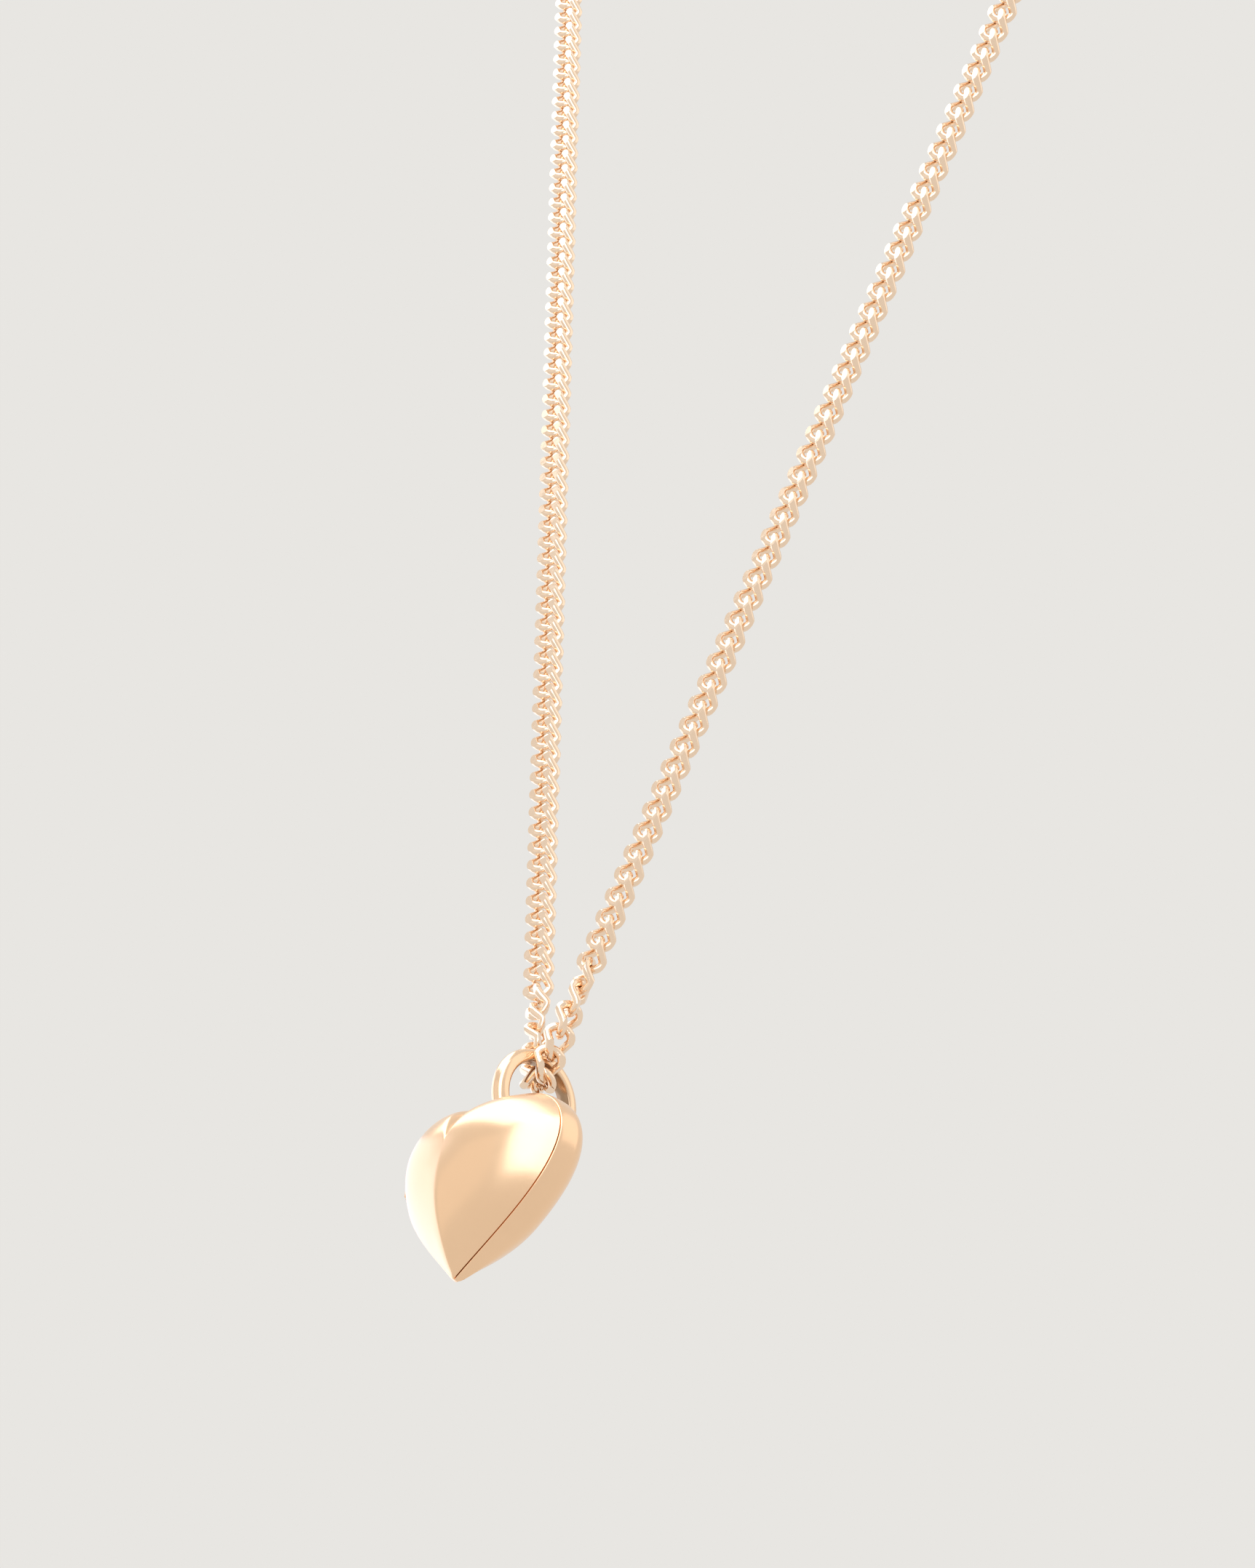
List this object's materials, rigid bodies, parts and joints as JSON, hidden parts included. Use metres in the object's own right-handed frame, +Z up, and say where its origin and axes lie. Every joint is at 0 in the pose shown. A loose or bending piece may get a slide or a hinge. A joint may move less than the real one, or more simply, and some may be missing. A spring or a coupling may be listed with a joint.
{
  "type": "heart locket on a curb chain",
  "caption": "Puffed rose-gold heart locket with a hinged lid, a round hanging loop and a diamond-cut curb chain ending in a bolt-ring clasp.",
  "frame": {"origin": "point midway between the two held ends of the chain", "axes": "+Z up, -Y the front of the locket's lid, +X to the right of the lid as worn facing the viewer"},
  "size_m": [0.0688, 0.0108, 0.1515],
  "materials": {
    "polished_gold": "mirror-polished rose gold plate",
    "chain_gold": "polished rose gold plate with bright cut flats",
    "inner_gold": "satin rose gold plate",
    "clear_window": "clear polished sheet"
  },
  "bodies": {
    "chain": {"chain_turn_link": "chain_gold", "strand_left_low": "chain_gold", "strand_left_high": "chain_gold", "strand_right_low": "chain_gold", "strand_right_high": "chain_gold", "ring_left": "polished_gold", "ring_right": "polished_gold", "clasp_body": "polished_gold", "clasp_eye": "polished_gold"},
    "locket": {"case": "polished_gold", "hinge_knuckles_case": "polished_gold", "hinge_pin": "inner_gold", "case_frame": "inner_gold", "case_window": "clear_window", "loop": "polished_gold"},
    "front": {"lid": "polished_gold", "hinge_knuckle_lid": "polished_gold", "catch_tongue": "inner_gold", "lid_frame": "inner_gold", "lid_window": "clear_window"},
    "bolt": {"clasp_bolt": "polished_gold"}
  },
  "joints": [
    {"name": "locket_swing", "type": "hinge", "parent": "chain", "child": "locket", "pos_m": [0.00387, 0.00003, -0.10836], "axis": [1, 0.0087, 0], "range_deg": [-25, 25]},
    {"name": "lid_hinge", "type": "hinge", "parent": "locket", "child": "front", "pos_m": [-0.00407, -0.00307, -0.1166], "axis": [0, 0, -1], "range_deg": [0, 100]},
    {"name": "clasp_slide", "type": "hinge", "parent": "chain", "child": "bolt", "pos_m": [-0.03327, 0.00019, 0.02142], "axis": [0.4851, 0.8636, 0.1375], "range_deg": [0, 60], "stiffness_Nm_per_rad": 0.0005, "springref_deg": -17.19}
  ]
}
